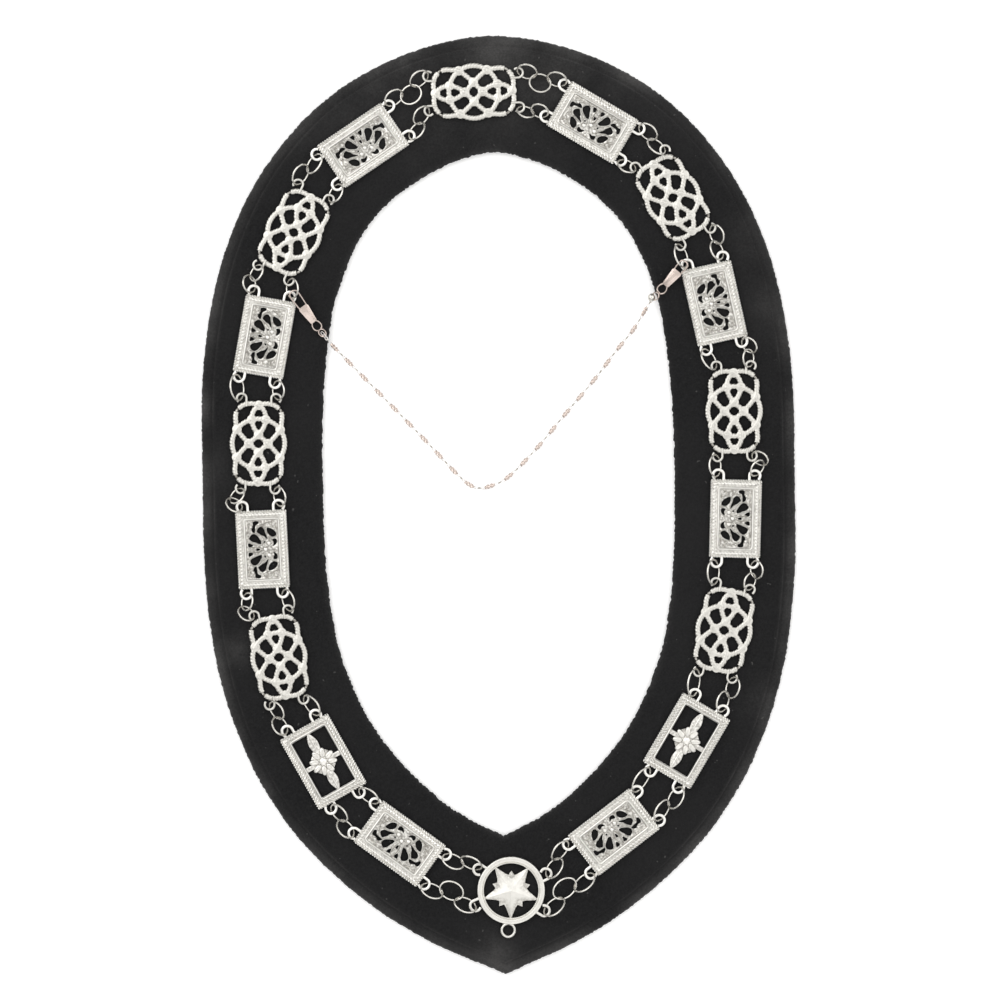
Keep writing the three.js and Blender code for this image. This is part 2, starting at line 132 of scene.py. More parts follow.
# Framed plates
Framed = namedtuple("Framed", "length width window_length window_width")
FLORAL = Framed(39.5, 26, 29, 15.8)
EMBLEM = Framed(40.5, 28, 30.8, 18.6)
FRAME_BASE = 1.35
FRAME_BASE_INSET = 0.3
FRAME_CORNER = 0.5
FRAME_EDGE = 0.2
# Bands round a frame, by their inset: one with no pitch is plain, the others are twisted
Band = namedtuple("Band", "inset width height pitch depth sides")
FLORAL_BANDS = [
    Band(0.65, 1.3, 1.9, 1.3, 0.5, 8),
    Band(2.3, 2, 1.8, 1.7, 0.5, 10),
    Band(4.4, 1.4, 2, None, 0, 12),
]
EMBLEM_BANDS = [
    Band(0.65, 1.3, 1.9, 1.3, 0.5, 8),
    Band(2.3, 2, 1.8, 1.6, 0.55, 10),
    Band(4.05, 1.3, 2, None, 0, 12),
]
BAND_CORNER = 0.7
STEPS_PER_TWIST = 6
PLAIN_SPACING = 1.2

# Panels inside the frames: bottom, top and rounded edge
Panel = namedtuple("Panel", "bottom top edge")
LEAF_PANEL = Panel(0.2, 0.95, 0.16)
LEAF_PANEL_LAP = 0.8
LEAF_OPENING_SPACING = 0.35
LEAF_MIDDLE_SPACING = 0.3

# Openings in the right half of the leaf-fan panel, as closed curves
LEAF_OPENINGS = [
    [(2.8, 0.6), (3.5, 3.3), (4.6, 5.8), (5.67, 6.4), (7.4, 5.4), (7.8, 4), (6.9, 2.4), (5.5, 1.1)],
    [(4.9, -2.6), (6.6, -0.9), (7.9, 1.7), (8.9, 2.5), (10.9, 1.5), (11.3, 0.2), (10.3, -1), (8.3, -1.7)],
    [(6.5, -6.6), (6.2, -5.1), (7.4, -3.4), (9.3, -2.5), (10.7, -2.7), (10.5, -4.1),
     (9.2, -6.3), (7.2, -7.2)],
    [(1.5, -5.3), (3, -5.7), (4.8, -5.1), (5, -6.9), (3.75, -7.4), (2.5, -6.9)],
    [(8.3, 3.6), (9.2, 4.9), (10.6, 5.1), (11.8, 4.3), (13.9, 4.2), (14.1, 1.6), (13.1, 1.4),
     (12.1, 2.9), (10, 3.3)],
    [(1.4, 6.9), (3.3, 7), (2.6, 5.1), (2, 4.6), (1.4, 5.9)],
    [(3.2, -1.3), (3.5, -0.7), (4.1, -0.9), (4, -1.6)],
]
LEAF_MIDDLE = [(-0.55, 3), (0.55, 3), (0.25, 1.3), (-0.25, 1.3)]
# Raised leaf ribs and scrolls of the right half, each with its greatest width
LEAF_RIBS = [
    ([(0.9, -1.2), (2.4, 1.2), (3, 4.2), (4.4, 6.7), (6.4, 7)], 1.3),
    ([(1.6, -1.6), (4.4, 0.3), (7.4, 2.4), (8.2, 4.2), (7.6, 6)], 1.2),
    ([(2.2, -2.2), (5, -1.4), (7.4, 1.2), (9, 2.9), (11.4, 2.2), (12, 0.2)], 1.2),
    ([(3.4, -3.4), (6, -2.9), (8.6, -1.9), (11.4, -1.4), (12.2, 0.4)], 1.1),
    ([(3.2, -4.2), (5.5, -4.4), (5.9, -6.4), (7, -7.4)], 1.1),
    ([(11, -2.2), (11.3, -4.4), (10, -6.8), (8, -7.5)], 1.1),
    ([(9.4, 5.6), (11.2, 5.9), (13, 5)], 1.2),
    ([(8.6, 7.2), (10.4, 6.9), (12.4, 7.1), (13.7, 6.1)], 1),
    ([(12.4, -0.8), (13.5, -2), (13.3, -3.6), (12.1, -4.1)], 1),
    ([(11.2, -5.6), (12.1, -4.9), (13.6, -5.2), (13.8, -6.6)], 1),
    ([(9.6, -7.3), (10.9, -6.7), (12, -7.3)], 0.9),
    ([(0.35, -0.4), (1.1, 2), (1.2, 4.6), (0.9, 7)], 0.9),
]
LEAF_STEM = [(0, 3.4), (0, 5), (0, 7.3)]
LEAF_STEM_WIDTH = 0.8
LEAF_RIB_SHARE = 0.62
LEAF_RIB_HEIGHT = 1.5
LEAF_RIB_Z = 1.2
Boss = namedtuple("Boss", "x y radius height")
LEAF_BOSSES = [Boss(3, -3.3, 1.3, 0.85), Boss(11.4, 5.4, 1, 0.85), Boss(12.9, 0.4, 0.7, 0.85)]
LEAF_MIDDLE_BOSSES = [Boss(0, -1.5, 1.3, 1), Boss(0, -7.1, 0.9, 0.7)]
LEAF_BOSS_Z = 0.9

# Rosette with two leaves and a bar across in the openwork plates
ROSETTE_PANEL = Panel(0.2, 1.1, 0.3)
ROSETTE_DISC = 6.2
ROSETTE_DISC_STEP = 10
ROSETTE_PETALS = 8
ROSETTE_BOSS = Boss(0, 0, 2.2, 1)
ROSETTE_BOSS_Z = 1.2
ROSETTE_BEAD_AT = 2.3
ROSETTE_BEAD = 0.5
ROSETTE_BEAD_Z = 1.7
ROSETTE_BEAD_RINGS = 3
ROSETTE_BEAD_SIDES = 10
# Strokes: width, height and the height of their middle line
Stroke = namedtuple("Stroke", "width height z")
STROKE_SIDES = 8
STROKE_END = 0.35
STROKE_ROUND = 0.6
PETAL = Stroke(3.1, 1.6, 1.1)
PETAL_REACH = (2, 4.6, 6.9)
PETAL_LINE = Stroke(0.5, 0.6, 1.9)
PETAL_LINE_REACH = (2.6, 4.6, 6.2)
PETAL_LINE_BOW = 6
BAR_PANEL = Panel(0.2, 1.2, 0.25)
BAR_WIDTH = 2.4
BAR_LAP = 0.4
BAR_CORNER = 0.4
LEAF_BLADE_PANEL = Panel(0.2, 1.2, 0.3)
LEAF_BLADE = [(5, 1.2), (8, 2.3), (11.2, 2.4)]
LEAF_BLADE_SPACING = 0.6
LEAF_SPINE = Stroke(0.9, 0.9, 1.25)
LEAF_SPINE_AT = (6, 10)
LEAF_VEIN = Stroke(0.55, 0.6, 1.2)
LEAF_VEINS_AT = (8.4, 10.2, 12)
LEAF_VEIN_REACH = [(0, 0), (1, 0.9), (1.5, 1.7)]
LEAF_TIP_LAP = 0.5
CURVE_SPACING = 0.4

# Interlaced plate: a strand drawn once and mirrored four ways, and a ring
KNOT_STRAND = [
    (-15.7, 11.2), (-13.4, 11.6), (-10.8, 11.4), (-7.3, 10.9), (-4.1, 8.6), (-0.1, 4.9), (4.5, 0),
    (8.1, -2.5), (12, -3.5), (15.9, -2.8), (19, -0.2), (20, 3.3), (19.3, 7.6), (17.5, 10.1),
]
KNOT_RING = (12.4, 13.1)
KNOT_WIDTH = 2.9
KNOT_HEIGHT = 1.5
KNOT_WAVE = 0.18
KNOT_WAVE_REACH = 2.1
KNOT_TWIST = 1.6
KNOT_TWIST_DEPTH = 0.18
KNOT_SPACING = 0.36
KNOT_RING_STEPS = 240
KNOT_MIDDLE = PLATE_THICK / 2
# Webs that fill the corners at each crossing, and low bridges over the gaps between strands
KNOT_WEB = 2.4
KNOT_WEB_STEP = 15
KNOT_WEB_PANEL = Panel(KNOT_MIDDLE - 0.65, KNOT_MIDDLE + 0.6, 0.2)
KNOT_BRIDGE = [(17.9, 9.6), (16.6, 11), (14.4, 11.4)]
KNOT_BRIDGE_STROKE = Stroke(1.3, 0.6, KNOT_MIDDLE - 0.8)
CROSSING_REACH = 2

# Round plate at the tip
MEDALLION_BAND = [
    (13.5, 0.1), (13.5, 1.7), (13.7, 2.05), (14, 2.1), (14.2, 1.85), (14.35, 1.85), (14.6, 2.25),
    (15.2, 2.4), (16.2, 2.4), (16.7, 2.25), (17, 1.8), (17, 0.1),
]
STAR_ARMS = 5
STAR_CORNERS = 2 * STAR_ARMS
STAR_STEP = 360 / STAR_CORNERS
STAR_TURN = 88
STAR_TIP = 14.6
STAR_WAIST = 6.4
STAR_BOTTOM = 0.2
STAR_TIP_Z = 1.1
STAR_WAIST_Z = 0.9
STAR_PEAK = 2.7
# Rays between the star's arms, each by its angle and radius
STAR_RAYS = [(-30, 3), (-27, 6), (-20, 8.9), (-11, 7.9), (0, 9.9), (11, 7.9), (20, 8.9), (27, 6), (30, 3)]
STAR_RAY_PANEL = Panel(0.3, 1.05, 0.1)
MEDALLION_SIDES = 120
Loop = namedtuple("Loop", "distance angle radius wire z")
JEWEL_LOOP = Loop(19.9, 85, 3.25, 1.44, 1.2)
JEWEL_LOOP_STEP = 8
JEWEL_LOOP_SIDES = 12

# Jump rings, which lean as the frame's do
RING_RADIUS = 4.7
SMALL_RING_RADIUS = 3.7
RING_WIRE = 0.8
RING_WIRE_SHOWN = 0.92
RING_LEAN = 50
MIDDLE_LEAN = 15
SHORT_CHORD = 7
RING_HOOK = 0.78
RING_STEPS = 36
Ring = namedtuple("Ring", "centre along across half_length half_width")

# Safety chain and clasps
CHAIN_ROUTE = [
    (-87.6, 88, 7.9), (-84.4, 83.6, 7), (-80.6, 79.4, 4.6), (-76.4, 75, 2.2), (-70, 68.2, 1.3),
    (-52, 49.4, 1.3), (-36, 32.4, 1.3), (-20, 15, 1.3), (-13.5, 9.4, 1.3), (-8, 8.6, 1.3),
    (-2, 10.2, 1.3), (4.2, 13.4, 1.3), (19.4, 28.2, 1.3), (34.2, 45.5, 1.3), (48, 61.3, 1.3),
    (61.6, 78.6, 1.3), (68, 86, 1.3), (71.6, 91.4, 2.2), (74.6, 96.6, 4.6), (77.4, 100.8, 7),
    (80.2, 103.8, 7.9),
]
CHAIN_PITCH = 10.6
CHAIN_STEPS = 24
CHAIN_BAR = 5.4
CHAIN_BAR_WIDTH = 2.3
CHAIN_BAR_HEIGHT = 1.7
CHAIN_BAR_STEPS = 45
CHAIN_BAR_SIDES = 12
CHAIN_BAR_END = 0.45
CHAIN_BAR_BLUNT = 9
CHAIN_TWIST = 1.9
CHAIN_TWIST_DEPTH = 0.4
# Small oval links: length, width, wire and lean, and half the stretch of chain that they lie along
Link = namedtuple("Link", "length width wire lean reach")
BAR_EYE = Link(2.3, 1.7, 0.42, 20, 1)
BAR_EYE_PAST = 0.6
UPRIGHT_LINK = Link(1.9, 1.5, 0.5, 75, 0.9)
LOOSE_LINK = Link(2.6, 2, 0.45, 35, 0.9)
LOOSE_LINKS_AT = [1.3, 3, 4.4]
LINK_STEPS = 20
LINK_SIDES = 8
CLASP_LOWER = {"left": (-89.7, 90.8, 7.5), "right": (83, 106.8, 7.5)}
CLASP_RINGS = {"left": "rings_16_inner", "right": "rings_03_inner"}
CLASP_HOOK = 30
CLASP_BALL = (77.6, 102.6, 7.3)
CLASP_BALL_RADIUS = 2
CLASP_BALL_RINGS = 9
CLASP_BALL_SIDES = 24
CLASP_RING = Link(4.8, 4.4, 0.75, 25, 0.9)
# Half outlines of a clasp, from its eye or from the wide end of its body
CLASP_BODY_END = 11.8
CLASP_BAIL_ROOM = 2.2
CLASP_NECK = [(2.3, -1.5), (2.9, -1.85)]
CLASP_WIDE = [(-0.6, -2.7), (0.5, -2.2)]
CLASP_PANEL = Panel(-0.5, 0.5, 0.18)
CLASP_RAISED_NECK = (3.6, -0.9)
CLASP_RAISED_WIDE = (-1.4, -1.6)
CLASP_RAISED_PANEL = Panel(0.3, 0.62, 0.1)
CLASP_EYE = [(2.9, 0.9), (1, 2), (-1, 2.1), (-2.3, 1)]
CLASP_BAIL_FOOT = (-0.4, 2)
CLASP_BAIL = [(0.6, 2.3), (2.4, 1.9)]
CLASP_BAIL_TIP = 3.2
CLASP_WIRE = 0.8
CLASP_SPACING = 0.3

# Velvet: half sections from the tip up to the nape
Section = namedtuple("Section", "outer_x outer_y inner_x inner_y")
VELVET_SECTIONS = [
    Section(0, -235, 0, -165.5),
    Section(38.8, -217.5, 16.5, -157.5),
    Section(69.5, -197.5, 31, -147.5),
    Section(101, -167.5, 51.5, -127.5),
    Section(121.3, -137.5, 66, -107.5),
    Section(134.3, -107.5, 75.5, -87.5),
    Section(142.5, -77.5, 81.8, -67.5),
    Section(147.5, -37.5, 86.3, -37.5),
    Section(148.3, 12.5, 88, 2.5),
    Section(147, 72.5, 86.5, 62.5),
    Section(137.5, 122.5, 80, 105),
    Section(120, 162.5, 66, 137),
    Section(96.8, 192.5, 52.5, 152.5),
    Section(72, 212.5, 39, 162.5),
    Section(37.5, 228.5, 18.8, 172.5),
    Section(0, 235, 0, 176.5),
]
VELVET_SPAN_STEPS = 60
VELVET_ACROSS = 22
# Inset from the edge and height, up the rolled outer border, over its seam, and down the inner edge
VELVET_OUTER = [
    (1.2, 0), (0.4, 0.5), (0.05, 1.3), (0, 2), (0.15, 3), (0.6, 4.1), (1.2, 4.75), (2, 5.2), (3, 5.42),
    (4, 5.36), (4.8, 5.05), (5.25, 4.8), (5.55, 4.8), (6, 5.25), (6.7, 5.7), (7.6, 5.9),
]
VELVET_INNER = [
    (4.2, 5.93), (3.2, 5.8), (2.2, 5.5), (1.3, 5), (0.6, 4.4), (0.15, 3.7), (0, 3), (0.05, 2), (0.4, 0.9),
    (1, 0),
]
VELVET_TOP = 5.98
# Greyer places: centre, reach and strength
VELVET_GREY_SPOTS = [
    (-132, -70.6, 7, 0.8), (-5.8, -228, 11, 0.8), (-1.2, 231, 16, 0.5), (20, 226, 30, 0.35),
    (-60, 214, 30, 0.3), (140, 96, 14, 0.35), (127, 132, 12, 0.3), (-142, 20, 12, 0.25),
    (133, -100, 12, 0.25),
]
# Greyer bands at a distance from an edge
GreyBand = namedtuple("GreyBand", "strength place reach power")
OUTER_GREY_BANDS = [GreyBand(0.66, 0, 4.8, 4), GreyBand(0.25, 0, 1.5, 2), GreyBand(0.45, 6.1, 0.5, 2)]
INNER_GREY_BANDS = [GreyBand(0.32, 0, 1.8, 2)]
NAPE_GREY = 0.3
NAPE_FROM = 150
NAPE_REACH = 80
# Noise that roughens the edges, the top and the greying
Ripple = namedtuple("Ripple", "height grain seed")
OUTER_RIPPLES = [Ripple(0.5, 1.3, 3.1), Ripple(0.15, 7, 5.7)]
INNER_RIPPLES = [Ripple(0.65, 1.2, 8.3), Ripple(0.2, 8, 1.9)]
TOP_RIPPLES = [Ripple(0.22, 14, 2.2), Ripple(0.12, 4, 6.6), Ripple(0.08, 1.7, 9.4)]
STREAKS = [Ripple(0.9, 24, 4.4)]
STREAK_MEAN = 0.6
STREAK_RANGE = (0.15, 1.2)
EDGE_FADE = 4
TOP_SINK = 0.1
TOP_RISE = 0.12
TOP_FROM = 1
FAR = 99.0
VELVET_SHARP = 60
VELVET_DARK = (0.0075, 0.0075, 0.008)
VELVET_LIGHT = (0.016, 0.016, 0.0165)
VELVET_LAY = (0.02, 0.0195, 0.02)
VELVET_GREY = (0.075, 0.073, 0.072)
VELVET_LINT = (0.12, 0.118, 0.115)
VELVET_SHEEN = (0.85, 0.84, 0.86, 1)


def unit(vectors):
    length = np.linalg.norm(vectors, axis=-1, keepdims=True)
    return vectors / np.maximum(length, TINY)


def turned(points, degrees):
    """Points turned about +Z."""
    c = math.cos(math.radians(degrees))
    s = math.sin(math.radians(degrees))
    points = np.asarray(points, float)
    out = points.copy()
    out[..., 0] = c * points[..., 0] - s * points[..., 1]
    out[..., 1] = s * points[..., 0] + c * points[..., 1]
    return out


def polar(radius, degrees):
    return radius * math.cos(math.radians(degrees)), radius * math.sin(math.radians(degrees))


def span(a, b, c, d, steps):
    """Points from b towards c on a centripetal Catmull-Rom curve."""
    d0, d1, d2 = (max(np.linalg.norm(q - p) ** 0.5, NEAR) for p, q in ((a, b), (b, c), (c, d)))
    t1 = d1 * ((b - a) / d0 - (c - a) / (d0 + d1) + (c - b) / d1)
    t2 = d1 * ((c - b) / d1 - (d - b) / (d1 + d2) + (d - c) / d2)
    t = (np.arange(steps) / steps)[:, None]
    return b + t1 * t + (3 * (c - b) - 2 * t1 - t2) * t**2 + (2 * (b - c) + t1 + t2) * t**3


def curve_through(points, spacing=None, closed=False, steps=None):
    """A smooth curve through points, with a given spacing or number of steps in each span."""
    p = np.asarray(points, float)
    n = len(p)
    out = []
    for i in range(n if closed else n - 1):
        b, c = p[i], p[(i + 1) % n]
        a = p[i - 1] if closed or i else 2 * b - c
        d = p[(i + 2) % n] if closed or i + 2 < n else 2 * c - b
        count = steps or max(2, round(float(np.linalg.norm(c - b)) / spacing))
        out.append(span(a, b, c, d, count))
    if not closed:
        out.append(p[-1:])
    return np.concatenate(out)


def arc_lengths(path):
    return np.concatenate([[0], np.cumsum(np.linalg.norm(np.diff(path, axis=0), axis=1))])


def evenly(path, spacing, closed=False):
    """The path again, with its points evenly spaced."""
    path = np.asarray(path, float)
    whole = np.vstack([path, path[:1]]) if closed else path
    arc = arc_lengths(whole)
    count = max(4, round(arc[-1] / spacing))
    at = np.linspace(0, arc[-1], count + 1)
    out = np.stack([np.interp(at, arc, whole[:, k]) for k in range(whole.shape[1])], 1)
    return out[:-1] if closed else out


def lifted(path, z):
    path = np.asarray(path, float)
    return np.column_stack([path[:, 0], path[:, 1], np.broadcast_to(z, len(path))])


def grid_faces(n, m, wrap_n, wrap_m):
    i = np.arange(n if wrap_n else n - 1)[:, None]
    j = np.arange(m if wrap_m else m - 1)[None, :]
    corners = [
        i * m + j,
        (i + 1) % n * m + j,
        (i + 1) % n * m + (j + 1) % m,
        i * m + (j + 1) % m,
    ]
    return np.stack(np.broadcast_arrays(*corners), -1).reshape(-1, 4).tolist()


def sweep(path, section, closed=False):
    """A section of across and up offsets, one for all or one for each point, swept along a path."""
    path = np.asarray(path, float)
    n = len(path)
    ahead, behind = np.roll(path, -1, 0), np.roll(path, 1, 0)
    if not closed:
        ahead[-1], behind[0] = path[-1], path[0]
    along = unit(ahead - behind)
    across = unit(np.cross(along, UP))
    up = np.cross(across, along)
    section = np.asarray(section, float)
    m = section.shape[-2]
    section = np.broadcast_to(section, (n, m, 2))
    verts = path[:, None] + across[:, None] * section[..., :1] + up[:, None] * section[..., 1:]
    faces = grid_faces(n, m, closed, True)
    if not closed:
        faces += [list(range(m)), list(range((n - 1) * m, n * m))[::-1]]
    return verts.reshape(-1, 3), faces


def oval(width, height, sides):
    turn = 2 * np.pi * np.arange(sides) / sides
    return np.stack([np.cos(turn) * width / 2, np.sin(turn) * height / 2], 1)


def rope_sections(path, width, height, pitch, sides, depth):
    """Two-lobed sections that turn along the path, as in a twisted rope."""
    arc = arc_lengths(path)
    turn = 2 * np.pi * np.arange(sides) / sides
    swell = 1 - depth * (1 - np.cos(2 * turn[None] - 2 * np.pi * arc[:, None] / pitch)) / 2
    across = swell * np.cos(turn) * width / 2
    return np.stack([across, swell * np.sin(turn) * height / 2], -1)


def tapered_sections(count, stroke):
    """Oval sections that thin out towards both ends of a stroke."""
    t = np.linspace(0, 1, count)
    scale = STROKE_END + (1 - STROKE_END) * np.sin(np.pi * t) ** STROKE_ROUND
    return oval(stroke.width, stroke.height, STROKE_SIDES)[None] * scale[:, None, None]


def dome(x, y, z, radius, height, rings=5, sides=16):
    """A low boss standing on z."""
    lift = np.linspace(0, np.pi / 2, rings, endpoint=False)
    turn = 2 * np.pi * np.arange(sides) / sides
    ring = np.cos(lift)[:, None] * radius
    verts = np.stack(
        [x + ring * np.cos(turn), y + ring * np.sin(turn), z + np.sin(lift)[:, None] * height + 0 * turn], -1
    ).reshape(-1, 3)
    faces = grid_faces(rings, sides, False, True)
    top = len(verts)
    last = (rings - 1) * sides
    faces += [[last + j, last + (j + 1) % sides, top] for j in range(sides)]
    faces.append(list(range(sides))[::-1])
    return np.vstack([verts, [[x, y, z + height]]]), faces


def lathe(profile, sides):
    """A closed profile of radius and height turned about the plate's middle."""
    profile = np.asarray(profile, float)
    turn = 2 * np.pi * np.arange(sides) / sides
    radius, height = profile[:, 0], profile[:, 1]
    verts = np.stack(
        [
            np.cos(turn)[:, None] * radius,
            np.sin(turn)[:, None] * radius,
            np.broadcast_to(height, (sides, len(profile))),
        ],
        -1,
    )
    return verts.reshape(-1, 3), grid_faces(sides, len(profile), True, True)


def rectangle(length, width, corner=FRAME_CORNER):
    """A closed rectangle with small round corners, along its centre line."""
    out = []
    for sx, sy, start in ((1, 1, 0), (-1, 1, 90), (-1, -1, 180), (1, -1, 270)):
        middle = (sx * (length / 2 - corner), sy * (width / 2 - corner))
        for turn in (0, 30, 60, 90):
            dx, dy = polar(corner, start + turn)
            out.append((middle[0] + dx, middle[1] + dy))
    return np.array(out)


def pierced(outline, holes, panel):
    """A flat plate with openings and rounded edges, from a filled curve."""
    data = bpy.data.curves.new("outline", "CURVE")
    data.dimensions = "2D"
    data.fill_mode = "BOTH"
    data.extrude = (panel.top - panel.bottom) / 2 - panel.edge
    data.bevel_depth = panel.edge
    data.bevel_resolution = 1
    data.offset = -panel.edge
    for points in [outline] + list(holes):
        spline = data.splines.new("POLY")
        spline.points.add(len(points) - 1)
        spline.points.foreach_set("co", [v for x, y in points for v in (x, y, 0, 1)])
        spline.use_cyclic_u = True
    holder = bpy.data.objects.new("outline", data)
    mesh = bpy.data.meshes.new_from_object(holder)
    work = bmesh.new()
    work.from_mesh(mesh)
    bmesh.ops.remove_doubles(work, verts=work.verts, dist=NEAR)
    work.verts.index_update()
    verts = np.array([v.co for v in work.verts])
    verts[:, 2] += (panel.top + panel.bottom) / 2
    faces = [[v.index for v in f.verts] for f in work.faces]
    work.free()
    bpy.data.objects.remove(holder)
    bpy.data.curves.remove(data)
    bpy.data.meshes.remove(mesh)
    return verts, faces


class Form:
    """Vertices and faces of one piece, in millimetres, added to form by form."""

    def __init__(self):
        self.verts = []
        self.faces = []
        self.looks = []
        self.count = 0

    def add(self, shape, look=0):
        verts, faces = shape
        self.verts.append(np.asarray(verts, float))
        self.looks += [look] * len(faces)
        self.faces += [[i + self.count for i in face] for face in faces]
        self.count += len(verts)

    def add_moved(self, shape, degrees, x, y, z):
        verts, faces = shape
        self.add((turned(verts, degrees) + (x, y, z), faces))

    def placed(self, degrees, x, y, z):
        """A copy turned about +Z and moved."""
        copy = Form()
        copy.add_moved((np.vstack(self.verts), self.faces), degrees, x, y, z)
        return copy

    def object(self, name, *materials, sharp=35):
        mesh = bpy.data.meshes.new(name)
        mesh.from_pydata((np.vstack(self.verts) * MM).tolist(), [], self.faces)
        work = bmesh.new()
        work.from_mesh(mesh)
        bmesh.ops.recalc_face_normals(work, faces=work.faces)
        work.to_mesh(mesh)
        work.free()
        mesh.polygons.foreach_set("use_smooth", [True] * len(mesh.polygons))
        mesh.set_sharp_from_angle(angle=math.radians(sharp))
        for material in materials:
            mesh.materials.append(material)
        mesh.polygons.foreach_set("material_index", self.looks)
        obj = bpy.data.objects.new(name, mesh)
        bpy.context.scene.collection.objects.link(obj)
        return obj


def settle(obj, node):
    """Puts a finished piece in the place of its frame node."""
    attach(obj, "root")
    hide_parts(node)
    return obj


class Nodes:
    """Short hand for building a material's node tree."""

    def __init__(self, name):
        self.material = bpy.data.materials.new(name)
        self.material.use_nodes = True
        self.tree = self.material.node_tree
        self.shader = self.tree.nodes["Principled BSDF"]
        self.place = self.new("ShaderNodeTexCoord").outputs["Object"]

    def new(self, kind, **settings):
        node = self.tree.nodes.new(kind)
        for key, value in settings.items():
            setattr(node, key, value)
        return node

    def link(self, source, target):
        self.tree.links.new(source, target)

    def noise(self, scale, detail=2, roughness=0.5):
        node = self.new("ShaderNodeTexNoise")
        node.inputs["Scale"].default_value = scale
        node.inputs["Detail"].default_value = detail
        node.inputs["Roughness"].default_value = roughness
        self.link(self.place, node.inputs["Vector"])
        return node.outputs["Fac"]

    def span(self, value, low, high, to_low=0.0, to_high=1.0):
        node = self.new("ShaderNodeMapRange")
        for key, number in zip(("From Min", "From Max", "To Min", "To Max"), (low, high, to_low, to_high)):
            node.inputs[key].default_value = number
        self.link(value, node.inputs["Value"])
        return node.outputs["Result"]

    def mixed(self, amount, first, second):
        node = self.new("ShaderNodeMix", data_type="RGBA")
        self.link(amount, node.inputs["Factor"])
        for colour, socket in ((first, node.inputs["A"]), (second, node.inputs["B"])):
            if isinstance(colour, tuple):
                socket.default_value = (*colour, 1)
            else:
                self.link(colour, socket)
        return node.outputs["Result"]

    def maths(self, kind, first, second):
        node = self.new("ShaderNodeMath", operation=kind, use_clamp=True)
        for value, socket in ((first, node.inputs[0]), (second, node.inputs[1])):
            if isinstance(value, (int, float)):
                socket.default_value = value
            else:
                self.link(value, socket)
        return node.outputs["Value"]

    def bump(self, height, strength, distance):
        node = self.new("ShaderNodeBump")
        node.inputs["Strength"].default_value = strength
        node.inputs["Distance"].default_value = distance
        self.link(height, node.inputs["Height"])
        self.link(node.outputs["Normal"], self.shader.inputs["Normal"])


def velvet_material():
    n = Nodes("velvet")
    greying = n.new("ShaderNodeAttribute", attribute_name="greying").outputs["Fac"]
    nap = n.noise(scale=1100, detail=3, roughness=0.6)
    patches = n.noise(scale=70, detail=3)
    lay = n.noise(scale=16)
    base = n.mixed(n.span(nap, 0.3, 0.7), VELVET_DARK, VELVET_LIGHT)
    base = n.mixed(n.span(lay, 0.35, 0.7, 0, 0.4), base, VELVET_LAY)
    grey_share = n.maths("MULTIPLY", greying, n.span(patches, 0.3, 0.65, 0.35, 1))
    grey_share = n.maths("MULTIPLY", grey_share, n.span(nap, 0.25, 0.75, 0.5, 1))
    base = n.mixed(grey_share, base, VELVET_GREY)
    lint = n.span(n.noise(scale=420, detail=1), 0.77, 0.8, 0, 0.4)
    base = n.mixed(lint, base, VELVET_LINT)
    n.link(base, n.shader.inputs["Base Color"])
    n.shader.inputs["Roughness"].default_value = 0.95
    n.shader.inputs["Specular IOR Level"].default_value = 0.12
    n.shader.inputs["Sheen Weight"].default_value = 0.12
    n.shader.inputs["Sheen Roughness"].default_value = 0.4
    n.shader.inputs["Sheen Tint"].default_value = VELVET_SHEEN
    n.bump(n.noise(scale=1500, detail=3, roughness=0.7), strength=0.7, distance=0.0006)
    return n.material


def metal_material(name, metal):
    """Plated metal with painted shade in the recesses, darker the lower they lie, mottled, with a cast grain.
    """
    n = Nodes(name)
    height = n.new("ShaderNodeSeparateXYZ")
    n.link(n.place, height.inputs["Vector"])
    # Painted shade: the lower a point lies between the two heights, the more of the shade colour it takes
    painted_shade = n.span(height.outputs["Z"], metal.low * MM, metal.high * MM, 1, 0)
    stain = n.span(n.noise(scale=260, detail=3, roughness=0.6), 0.42, 0.72, 0, 0.15)
    grain = n.span(n.noise(scale=850, detail=2, roughness=0.6), 0.38, 0.6, 0.2, 1.25)
    # The painted shade, broken up by the grain, and random stains set the mix towards the shade colour
    amount = n.maths("ADD", n.maths("MULTIPLY", painted_shade, grain), stain)
    n.link(n.mixed(amount, metal.bright, metal.dull), n.shader.inputs["Base Color"])
    handled = n.noise(scale=500, detail=3, roughness=0.6)
    n.link(n.span(handled, 0.3, 0.75, metal.smooth, metal.rough), n.shader.inputs["Roughness"])
    n.shader.inputs["Metallic"].default_value = 1
    n.bump(n.noise(scale=1300, detail=3, roughness=0.6), strength=0.22, distance=0.0003)
    return n.material


def plain_floor_material():
    n = Nodes("floor")
    n.link(n.mixed(n.noise(scale=3), *FLOOR_COLOURS), n.shader.inputs["Base Color"])
    n.shader.inputs["Roughness"].default_value = 0.9
    n.shader.inputs["Emission Color"].default_value = (1, 1, 1, 1)
    n.shader.inputs["Emission Strength"].default_value = FLOOR_GLOW
    return n.material


def lug_form(lug, leg_side):
    """A hook of bent wire along +X with its eye at the origin, and its leg on one side."""
    middle = (lug.eye + lug.rim) / 2 + LUG_EXTRA / 2
    legs = lug.root - lug.x
    path = [(legs, -middle), (legs / 2, -middle)]
    path += [polar(middle, turn) for turn in range(-90, LUG_CURL, LUG_CURL_STEP)]
    path = [(x, leg_side * -y) for x, y in path]
    section = oval(lug.rim - lug.eye + LUG_EXTRA, LUG_HEIGHT, WIRE_SIDES)
    return sweep(lifted(evenly(path, LUG_SPACING), 0), section)


def add_end_lugs(form, kind):
    lug = LUGS[kind]
    for sx in (1, -1):
        for sy in (1, -1):
            shape = lug_form(lug, -sx * sy)
            form.add_moved(shape, 0 if sx > 0 else 180, sx * lug.x, sy * lug.y, LUG_UP)


